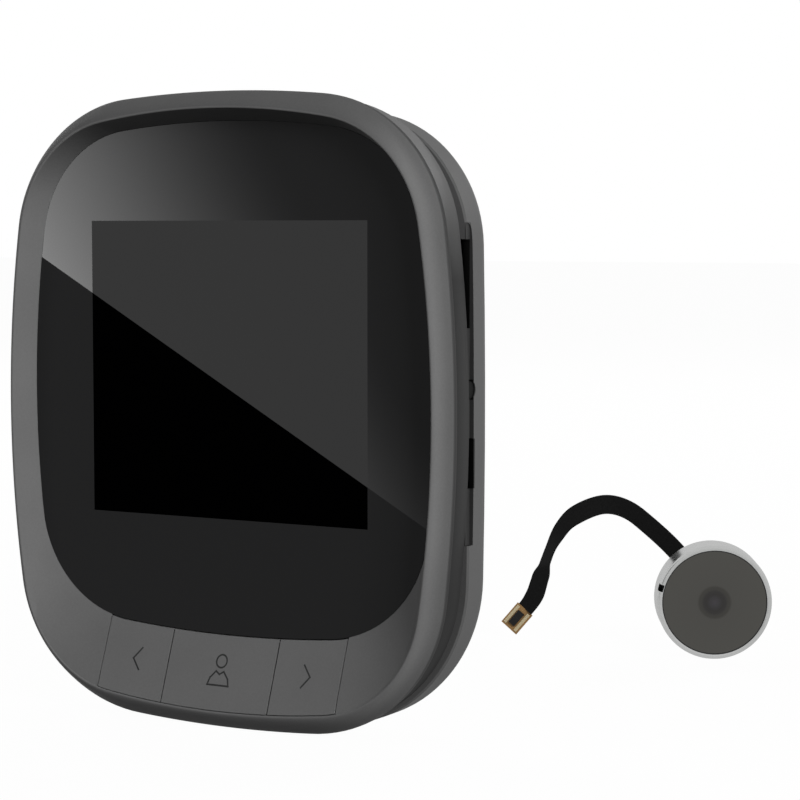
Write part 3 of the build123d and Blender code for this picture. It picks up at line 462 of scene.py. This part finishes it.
dish_sections.append((WINDOW, window_y + dish_foot))
back_sections = [(WINDOW, pocket_y), (pocket_edge, pocket_y), (pocket_edge, plate_back_y),
                 (WINDOW, plate_back_y), (dish_edge, plate_back_y),
                 (plate_edge, plate_back_y), (plate_edge, bezel_back_y)]
bezel_sections = rim_sections + lip_sections + crest_sections + dish_sections + back_sections
dish_start = len(rim_sections + lip_sections + crest_sections)
pocket_row = dish_start + len(dish_sections)
back_window_row = pocket_row + 3
back_dish_row = pocket_row + 4

bezel_mesh = bmesh.new()
painted_shade_layer = bezel_mesh.verts.layers.float.new("seam")
bezel_rows = []
for shape, y in bezel_sections:
    places = [(x * MM, y * MM, z * MM) for x, z in outline_points(shape)]
    if not bezel_rows:
        bezel_rows.append(closed_loop(bezel_mesh, places))
    else:
        bezel_rows.append(draw_on(bezel_mesh, bezel_rows[-1], places))
first_row = [tuple(vertex.co) for vertex in bezel_rows[0]]
closing_row = draw_on(bezel_mesh, bezel_rows[-1], first_row)
bmesh.ops.weld_verts(bezel_mesh, targetmap=dict(zip(closing_row, bezel_rows[0])))

# The opening for the keys: its faces are taken out, and walls join front and back
count = len(bezel_rows[0])
low_span = [index % count for index in range(-key_columns, key_columns + 1)]


def low_edges(row):
    """The edges of a row that run below the keys, from left to right."""
    ring = bezel_rows[row]
    return [bezel_mesh.edges.get((ring[first], ring[second]))
            for first, second in zip(low_span, low_span[1:])]


opening = []
for row, following in ([(row, row + 1) for row in range(dish_start, pocket_row)]
                       + [(back_window_row, back_dish_row)]):
    strip = {bezel_rows[row][index] for index in low_span}
    strip |= {bezel_rows[following][index] for index in low_span}
    opening += [face for face in {face for vertex in strip for face in vertex.link_faces}
                if all(vertex in strip for vertex in face.verts)]
bmesh.ops.delete(bezel_mesh, geom=list(set(opening)), context="FACES_ONLY")
bmesh.ops.bridge_loops(bezel_mesh, edges=low_edges(dish_start) + low_edges(back_dish_row))
bmesh.ops.bridge_loops(bezel_mesh, edges=low_edges(pocket_row) + low_edges(back_window_row))
loose = [edge for edge in bezel_mesh.edges if not edge.link_faces]
bmesh.ops.delete(bezel_mesh, geom=loose, context="EDGES")
lone = [vertex for vertex in bezel_mesh.verts if not vertex.link_edges]
bmesh.ops.delete(bezel_mesh, geom=lone, context="VERTS")
rims = [edge for edge in bezel_mesh.edges if edge.is_boundary]
bmesh.ops.holes_fill(bezel_mesh, edges=rims, sides=0)

# How much shade is painted on the rim along the lip's outer slope, from the seam forwards.
# The lip and the dish's wall are also painted a little darker over the top, as shade.
seam_shade = ((-16.9, 1.0), (-17.35, 0.45), (-18.6, 0.36), (-20.6, 0.0))
seam_tone = 0.22
lip_shade = 0.36
lip_shade_from = 46.0
lip_shade_run = 10.0
wall_shade = 0.6
wall_shade_from = 42.0
wall_shade_run = 12.0


def shade_at(y):
    """Share of the seam's shade at a depth, read between the given steps."""
    if y >= seam_shade[0][0]:
        return 1.0
    for (start, first), (end, second) in zip(seam_shade, seam_shade[1:]):
        if y >= end:
            return first + (second - first) * (start - y) / (start - end)
    return 0.0


def over_top(vertex, start, run):
    """Nought up to a height, and one from a run above it, in millimetres."""
    return min(max((vertex.co.z / MM - start) / run, 0.0), 1.0)


for (shape, y), row in zip(rim_sections + lip_sections, bezel_rows):
    for vertex in row:
        top_shade = lip_shade * over_top(vertex, lip_shade_from, lip_shade_run)
        vertex[painted_shade_layer] = max(shade_at(y), top_shade)
for row in bezel_rows[dish_start:pocket_row]:
    for vertex in [vertex for vertex in row if vertex.is_valid]:
        vertex[painted_shade_layer] = wall_shade * over_top(vertex, wall_shade_from, wall_shade_run)
shell_plastic = grained("shell_plastic", (0.154,) * 3, (0.188,) * 3, 0.5, depth=0.06,
                        Specular_IOR_Level=0.1)
# The painted shade held in the vertex layer tones the shell's colour down
shell_shade = add(shell_plastic.node_tree, "Attribute", attribute_name="seam")
paint_shade(shell_plastic, shell_shade.outputs["Fac"], seam_tone)
shell_crease = math.radians(38)
bezel_shell = make_object("bezel_shell", bezel_mesh, shell_plastic)
bezel_shell.data.set_sharp_from_angle(angle=shell_crease)
bezel_shell.visible_glossy = False
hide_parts("front_bezel")
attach(bezel_shell, "monitor")


# Screen: a glass window glued in the bezel's pocket over an unlit panel with its
# backlight in a steel tray. The glass is printed black from behind, and the screen shows
# as a blacker rectangle.

screen_half_width = 32.05
screen_half_height = 29.15
screen_centre_z = 8.0
print_black = (0.015, 0.015, 0.0155)
screen_black = (0.0004, 0.0004, 0.0005)
window_print, print_tree, print_shader = new_material("window_print")
print_place = object_place(print_tree)
across = math_node(print_tree, "ABSOLUTE", print_place["X"])
height = math_node(print_tree, "ABSOLUTE", math_node(
    print_tree, "SUBTRACT", print_place["Z"], screen_centre_z * MM))
on_screen = math_node(print_tree, "MULTIPLY",
                      math_node(print_tree, "LESS_THAN", across, screen_half_width * MM),
                      math_node(print_tree, "LESS_THAN", height, screen_half_height * MM))
print_colour = ramp_node(print_tree, on_screen, [(0.0, print_black), (1.0, screen_black)])
print_tree.links.new(print_colour, print_shader.inputs["Base Color"])
print_shader.inputs["Roughness"].default_value = 0.0
print_shader.inputs["IOR"].default_value = 1.5
mask_ink = grained("mask_ink", (0.010,) * 3, (0.020,) * 3, 0.45)
dress(window_print, "display_window")
dress(mask_ink, "window_mask", "lcd_panel", "backlight")
dress(steel, "screen_tray")


# Keys: three caps in the bezel's grey, side by side in the chin's opening, each with a
# printed black mark and a black plunger that reaches its switch. The small round side key
# is black.

key_plastic = grained("key_plastic", (0.158,) * 3, (0.190,) * 3, 0.5, depth=0.06,
                      Specular_IOR_Level=0.1)
for side in ("left", "centre", "right"):
    dress(key_plastic, side + "_button")
    nodes[side + "_button"].visible_glossy = False
    dress(mask_ink, side + "_mark")
    dress(black_plastic, side + "_plunger")
key_black = grained("key_black", (0.005,) * 3, (0.009,) * 3, 0.5, Specular_IOR_Level=0.1)
dress(key_black, "power_button")
dress(black_plastic, "power_plunger")


# Outdoor camera: a turned ring in satin chrome, with a slot milled in its side, pressed
# over a black housing. Dark glass closes it, and the lens shows through as darker rings.

eye = Vector((54.0, 102.35, -49.0))
eye_turn = math.radians(28.0)
slot_turn = math.radians(15.0)
slot_box = ((-14.0, -12.0), (-5.1, -2.55), (-0.8, 0.8))
glass_reach = 12.0
# Shares of the glass's radius, and its tone there: the lens, its barrel, glass and rim
glass_tones = [(0.0, (0.048, 0.043, 0.050)), (0.10, (0.033, 0.031, 0.033)),
               (0.155, (0.024, 0.022, 0.021)), (0.21, (0.027, 0.025, 0.024)),
               (0.25, (0.041, 0.039, 0.034)), (0.29, (0.043, 0.041, 0.035)),
               (0.33, (0.068, 0.066, 0.059)), (0.965, (0.072, 0.070, 0.062)),
               (0.975, (0.012, 0.012, 0.012)), (1.0, (0.010, 0.010, 0.010))]


def eye_place(tree, roll=0.0):
    """Coordinates with their origin in the eye and Y along its axis."""
    mapping = add(tree, "Mapping", vector_type="TEXTURE")
    mapping.inputs["Location"].default_value = eye * MM
    mapping.inputs["Rotation"].default_value = (0, roll, eye_turn)
    tree.links.new(add(tree, "TexCoord").outputs["Object"], mapping.inputs["Vector"])
    return mapping.outputs[0]


ring_metal = grained("ring_metal", (0.84, 0.85, 0.84), (0.93, 0.94, 0.93), 0.26,
                     fine=900.0, depth=0.03, Metallic=1.0)
# Painted shade: inside the milled slot the chrome is painted near black
paint_box_shade(ring_metal, (slot_box,), 0.01, eye_place(ring_metal.node_tree, slot_turn))
dress(ring_metal, "camera_ring")

eye_glass, eye_tree, eye_shader = new_material("eye_glass")
eye_split = add(eye_tree, "SeparateXYZ")
eye_tree.links.new(eye_place(eye_tree), eye_split.inputs[0])
reach = math_node(eye_tree, "SQRT", math_node(
    eye_tree, "ADD", math_node(eye_tree, "POWER", eye_split.outputs["X"], 2.0),
    math_node(eye_tree, "POWER", eye_split.outputs["Z"], 2.0)))
reach_share = math_node(eye_tree, "DIVIDE", reach, glass_reach * MM)
eye_tree.links.new(ramp_node(eye_tree, reach_share, glass_tones),
                   eye_shader.inputs["Base Color"])
eye_shader.inputs["Roughness"].default_value = 0.08
dress(eye_glass, "camera_glass")
dress(window_print, "lens_element")
dress(black_plastic, "camera_housing", "lens_barrel", "image_sensor")
dress(board_green, "camera_board")
dress(pad_rubber, "barrel_cap", "camera_gasket")


# Ribbon: a flat black cloth-covered tape from the camera's barrel, stiff enough to stand
# in an arc, and twisted on its way down to a small plug: a black body on a brass-brown
# board with pale gold contact strips.

ribbon_width = 4.6
ribbon_thickness = 0.45
ribbon_route = [
    (48.131, 113.386, -49.0),
    (45.502, 118.331, -49.0),
    (41.2, 121.4, -45.6),
    (35.35, 121.6, -39.97),
    (29.89, 120.8, -35.41),
    (25.6, 119.2, -31.75),
    (20.85, 117.2, -30.25),
    (16.59, 115.0, -31.49),
    (11.99, 112.4, -34.52),
    (9.6, 109.4, -40.39),
    (8.9, 107.1, -44.6),
    (8.5, 105.2, -48.4),
    (8.15, 103.1, -52.5),
    (6.31, 102.0, -55.0),
]
# Shares of the length, and the turn of the flat side in degrees there
ribbon_twist = [(0.0, 0.0), (0.6, 0.0), (0.7, -22.0), (0.78, -38.0), (0.83, -36.0),
                (0.88, -5.0), (0.93, 0.0), (1.0, -18.0)]
# The tape's section in shares of its half width and half thickness, with eased edges
ribbon_section = [(-1.0, -0.6), (-0.97, -1.0), (0.97, -1.0), (1.0, -0.6),
                  (1.0, 0.6), (0.97, 1.0), (-0.97, 1.0), (-1.0, 0.6)]

# The first points of the line run out of the barrel, where the tape's flat side looks up
root_points = 12
root_facing = Vector((0.0, 0.4, 1.0))
arc_facing = Vector((0.0, 1.0, 0.0))
weave_size = 3000.0
tape_dark = (0.0065,) * 3
tape_light = (0.0105,) * 3
tape_crease = math.radians(50)

tape, tape_tree, tape_shader = new_material("ribbon_tape")
weave = add(tape_tree, "TexNoise")
weave.inputs["Scale"].default_value = weave_size
weave.inputs["Detail"].default_value = 2.0
tape_tree.links.new(add(tape_tree, "TexCoord").outputs["Object"], weave.inputs["Vector"])
tape_colour = ramp_node(tape_tree, weave.outputs["Fac"], [(0.3, tape_dark), (0.7, tape_light)])
tape_tree.links.new(tape_colour, tape_shader.inputs["Base Color"])
weave_bump = add(tape_tree, "Bump")
weave_bump.inputs["Strength"].default_value = 0.25
weave_bump.inputs["Distance"].default_value = 0.0001
tape_tree.links.new(weave.outputs["Fac"], weave_bump.inputs["Height"])
tape_tree.links.new(weave_bump.outputs["Normal"], tape_shader.inputs["Normal"])
tape_shader.inputs["Roughness"].default_value = 0.7
tape_shader.inputs["Specular IOR Level"].default_value = 0.12


def ribbon_line():
    """The ribbon's own line, read back from a NURBS curve through its route."""
    curve = bpy.data.curves.new("ribbon_line", "CURVE")
    curve.dimensions = "3D"
    spline = curve.splines.new("NURBS")
    spline.points.add(len(ribbon_route) - 1)
    for point, place in zip(spline.points, ribbon_route):
        point.co = (*(Vector(place) * MM), 1.0)
    spline.order_u = 3
    spline.use_endpoint_u = True
    spline.resolution_u = 16
    holder = bpy.data.objects.new("ribbon_line", curve)
    bpy.context.collection.objects.link(holder)
    bpy.context.view_layer.update()
    depsgraph = bpy.context.evaluated_depsgraph_get()
    line = bpy.data.meshes.new_from_object(holder.evaluated_get(depsgraph))
    points = [vertex.co.copy() for vertex in line.vertices]
    bpy.data.objects.remove(holder)
    return points


def twist_at(share):
    """Turn of the ribbon's flat side at a share of its length, eased between shares."""
    for (start, first), (end, second) in zip(ribbon_twist, ribbon_twist[1:]):
        if share <= end:
            part = (share - start) / (end - start)
            return first + (second - first) * (3 - 2 * part) * part * part
    return ribbon_twist[-1][1]


def ribbon_places(line, lengths, index):
    """The places of the tape's section at one point of its line."""
    ahead = line[min(index + 1, len(line) - 1)] - line[max(index - 1, 0)]
    ahead.normalize()
    facing = root_facing if index < root_points else arc_facing
    flat = (facing - ahead * facing.dot(ahead)).normalized()
    across = ahead.cross(flat)
    turn = math.radians(twist_at(lengths[index] / lengths[-1]))
    wide = (across * math.cos(turn) + flat * math.sin(turn)) * (ribbon_width / 2 * MM)
    thin = (flat * math.cos(turn) - across * math.sin(turn)) * (ribbon_thickness / 2 * MM)
    return [line[index] + wide * a + thin * b for a, b in ribbon_section]


line = ribbon_line()
lengths = [0.0]
for first, second in zip(line, line[1:]):
    lengths.append(lengths[-1] + (second - first).length)
ribbon_mesh = bmesh.new()
ribbon_end = closed_loop(ribbon_mesh, ribbon_places(line, lengths, 0))
bmesh.ops.contextual_create(ribbon_mesh, geom=ribbon_end)
for index in range(1, len(line)):
    ribbon_end = draw_on(ribbon_mesh, ribbon_end, ribbon_places(line, lengths, index))
bmesh.ops.contextual_create(ribbon_mesh, geom=ribbon_end)
ribbon_piece = make_object("ribbon_tape", ribbon_mesh, tape)
ribbon_piece.data.set_sharp_from_angle(angle=tape_crease)
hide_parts("ribbon_cable")
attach(ribbon_piece, "bracket_and_camera")
dress(tape, "ribbon_root")

plug_brass = grained("plug_brass", (0.40, 0.23, 0.09), (0.62, 0.38, 0.17), 0.35,
                     fine=1500.0, Metallic=0.4)
contact_gold = grained("contact_gold", (0.82, 0.68, 0.42), (0.95, 0.82, 0.56), 0.3,
                       fine=1500.0, Metallic=0.4)
dress(plug_brass, "connector_board")
dress(contact_gold, "connector_contacts")
dress(black_plastic, "connector_body")


# Camera of the picture: a long lens from a little above the screen's middle, to the right
# of the object, at the photograph's viewing angle.

camera_place = Vector((255.6, -396.2, 35.5)) * MM
camera_turn = math.radians(29.66)
camera_dip = math.radians(4.16)
camera_data = bpy.data.cameras.new("camera")
camera_data.sensor_width = 36.0
camera_data.lens = 105.75
camera_data.clip_start = 0.01
camera = bpy.data.objects.new("camera", camera_data)
camera.location = camera_place
camera.rotation_euler = (math.pi / 2 - camera_dip, 0, camera_turn)
bpy.context.collection.objects.link(camera)
bpy.context.scene.camera = camera
bpy.context.scene.view_settings.view_transform = "Standard"


# Floor: a plain sheet under the object, white to the camera, and grey to the light that
# falls back from it on the object.

floor_z = -62.05
floor_half_size = 6.0
floor_grey = (0.05,) * 3
floor_light = (0.93,) * 3
floor_in_view = 0.975
floor_mirrored = 0.48
floor_mesh = bmesh.new()
bmesh.ops.create_grid(floor_mesh, x_segments=1, y_segments=1, size=floor_half_size,
                      matrix=Matrix.Translation((0, 0, floor_z * MM)))
floor_white, floor_tree, floor_shader = new_material("floor_white")
floor_shader.inputs["Roughness"].default_value = 0.9
floor_path = add(floor_tree, "LightPath")
floor_seen = math_node(floor_tree, "MAXIMUM", floor_path.outputs["Is Camera Ray"],
                       floor_path.outputs["Is Transmission Ray"])
floor_colour = ramp_node(floor_tree, floor_seen, [(0.0, floor_grey), (1.0, floor_light)])
floor_tree.links.new(floor_colour, floor_shader.inputs["Base Color"])
floor_glow = add(floor_tree, "Emission")
floor_mix = add(floor_tree, "MixShader")
floor_share = math_node(floor_tree, "MULTIPLY_ADD", floor_path.outputs["Is Glossy Ray"],
                        floor_mirrored,
                        math_node(floor_tree, "MULTIPLY", floor_seen, floor_in_view))
floor_tree.links.new(floor_share, floor_mix.inputs[0])
floor_tree.links.new(floor_shader.outputs[0], floor_mix.inputs[1])
floor_tree.links.new(floor_glow.outputs[0], floor_mix.inputs[2])
floor_tree.links.new(floor_mix.outputs[0], floor_tree.nodes["Material Output"].inputs["Surface"])
make_object("floor", floor_mesh, floor_white)


# Backdrop: the white studio wall and ceiling all round. It is white to the camera, dim to
# the object, and half bright in what the ring and the glass mirror.

sky_dim = 0.07
sky_in_view = 0.93
sky_mirrored = 0.48
studio = bpy.data.worlds.new("studio")
bpy.context.scene.world = studio
studio.use_nodes = True
sky_path = add(studio.node_tree, "LightPath")
sky_seen = math_node(studio.node_tree, "MAXIMUM", sky_path.outputs["Is Camera Ray"],
                     sky_path.outputs["Is Transmission Ray"])
sky_level = math_node(studio.node_tree, "MULTIPLY_ADD", sky_path.outputs["Is Glossy Ray"],
                      sky_mirrored, math_node(studio.node_tree, "MULTIPLY_ADD", sky_seen,
                                              sky_in_view, sky_dim))
backdrop = studio.node_tree.nodes["Background"]
backdrop.inputs["Color"].default_value = (1.0, 1.0, 1.0, 1.0)
studio.node_tree.links.new(sky_level, backdrop.inputs["Strength"])


# Lamps: two soft boxes on the right, a weaker one on the left, and two behind, which the
# front of the object hardly sees.

lamp_size = 0.5


def lamp(name, place, power):
    """A square soft box that points at the object."""
    data = bpy.data.lights.new(name, "AREA")
    data.size = lamp_size
    data.energy = power
    piece = bpy.data.objects.new(name, data)
    piece.location = place
    piece.rotation_euler = (-Vector(place)).to_track_quat("-Z", "Y").to_euler()
    piece.visible_glossy = False
    bpy.context.collection.objects.link(piece)


lamp("right_lamp", (1.02, -0.54, 0.40), 9.0)
lamp("low_right_lamp", (1.2, -0.25, 0.15), 5.5)
lamp("left_lamp", (-0.8, -0.9, 0.6), 3.6)
lamp("rear_lamp", (0.3, 1.2, 0.5), 9.0)
lamp("rear_left_lamp", (-1.1, 0.5, 0.6), 6.0)


# Reflector card: only reflections see it. Its pattern is a painted reflection for the window,
# laid out from the camera's place: a bright, graded upper part and a black lower part,
# which meet in the long diagonal edge.

card_y = -95.0
card_glass_share = 0.043
card_left = -49.0
card_right = 49.0
card_low = -45.1
card_high = 58.0
# The diagonal edge, as the glass's Z at its middle and its fall along X
edge_height = 4.8
edge_fall = 0.56
# The sheen grows from the upper right to the lower left, over its run in millimetres
sheen_along_x = -0.85
sheen_along_z = -0.52
sheen_start = 37.0
sheen_run = 57.0
sheen_power = 1.8
sheen_peak = 0.182
border_reflection_grey = 0.0085
screen_reflection_grey = 0.036
card_ratio = (window_y - card_y) / (window_y - camera_place.y / MM)
card_x = -card_ratio * camera_place.x / MM
card_z = -card_ratio * camera_place.z / MM
card_scale = 1 + card_ratio
card_mesh = bmesh.new()
card_middle = Vector(((card_left + card_right) / 2 * card_scale + card_x, card_y,
                      (card_low + card_high) / 2 * card_scale + card_z)) * MM
card_stretch = Matrix.Diagonal(((card_right - card_left) / 2 * card_scale * MM, 1.0,
                                (card_high - card_low) / 2 * card_scale * MM, 1.0))
bmesh.ops.create_grid(card_mesh, x_segments=1, y_segments=1, size=1.0,
                      matrix=Matrix.Translation(card_middle) @ card_stretch
                      @ Matrix.Rotation(math.pi / 2, 4, "X"))

card_paint, card_tree = new_material("reflector_card")[:2]
card_split = object_place(card_tree)
glass_x = math_node(card_tree, "DIVIDE", math_node(
    card_tree, "SUBTRACT", card_split["X"], card_x * MM), card_scale * MM)
glass_z = math_node(card_tree, "DIVIDE", math_node(
    card_tree, "SUBTRACT", card_split["Z"], card_z * MM), card_scale * MM)
above = math_node(card_tree, "GREATER_THAN",
                  math_node(card_tree, "MULTIPLY_ADD", glass_x, edge_fall, glass_z),
                  edge_height)
slope = math_node(card_tree, "MULTIPLY_ADD", glass_x, sheen_along_x,
                  math_node(card_tree, "MULTIPLY", glass_z, sheen_along_z))
rise = math_node(card_tree, "MAXIMUM", math_node(card_tree, "DIVIDE", math_node(
    card_tree, "ADD", slope, sheen_start), sheen_run), 0.0)
sheen = math_node(card_tree, "MULTIPLY", math_node(card_tree, "POWER", rise, sheen_power),
                  sheen_peak)
over_screen = math_node(
    card_tree, "MULTIPLY",
    math_node(card_tree, "LESS_THAN", math_node(card_tree, "ABSOLUTE", glass_x),
              screen_half_width),
    math_node(card_tree, "LESS_THAN", math_node(
        card_tree, "ABSOLUTE", math_node(card_tree, "SUBTRACT", glass_z, screen_centre_z)),
        screen_half_height))
# Painted reflection: a faint grey all over where the card lines up with the printed border, and
# none where it lines up with the screen below the edge
card_level = add(card_tree, "Mix")
card_tree.links.new(over_screen, card_level.inputs[0])
card_tree.links.new(math_node(card_tree, "MULTIPLY_ADD", above, sheen, border_reflection_grey),
                    card_level.inputs[2])
card_tree.links.new(math_node(card_tree, "MULTIPLY", above, screen_reflection_grey),
                    card_level.inputs[3])
card_strength = math_node(card_tree, "DIVIDE", card_level.outputs[0], card_glass_share)
card_glow = add(card_tree, "Emission")
card_tree.links.new(card_strength, card_glow.inputs["Strength"])
card_tree.links.new(card_glow.outputs[0], card_tree.nodes["Material Output"].inputs["Surface"])
card = make_object("reflector", card_mesh, card_paint)
card.visible_camera = False
card.visible_diffuse = False
card.visible_shadow = False
card.visible_transmission = False
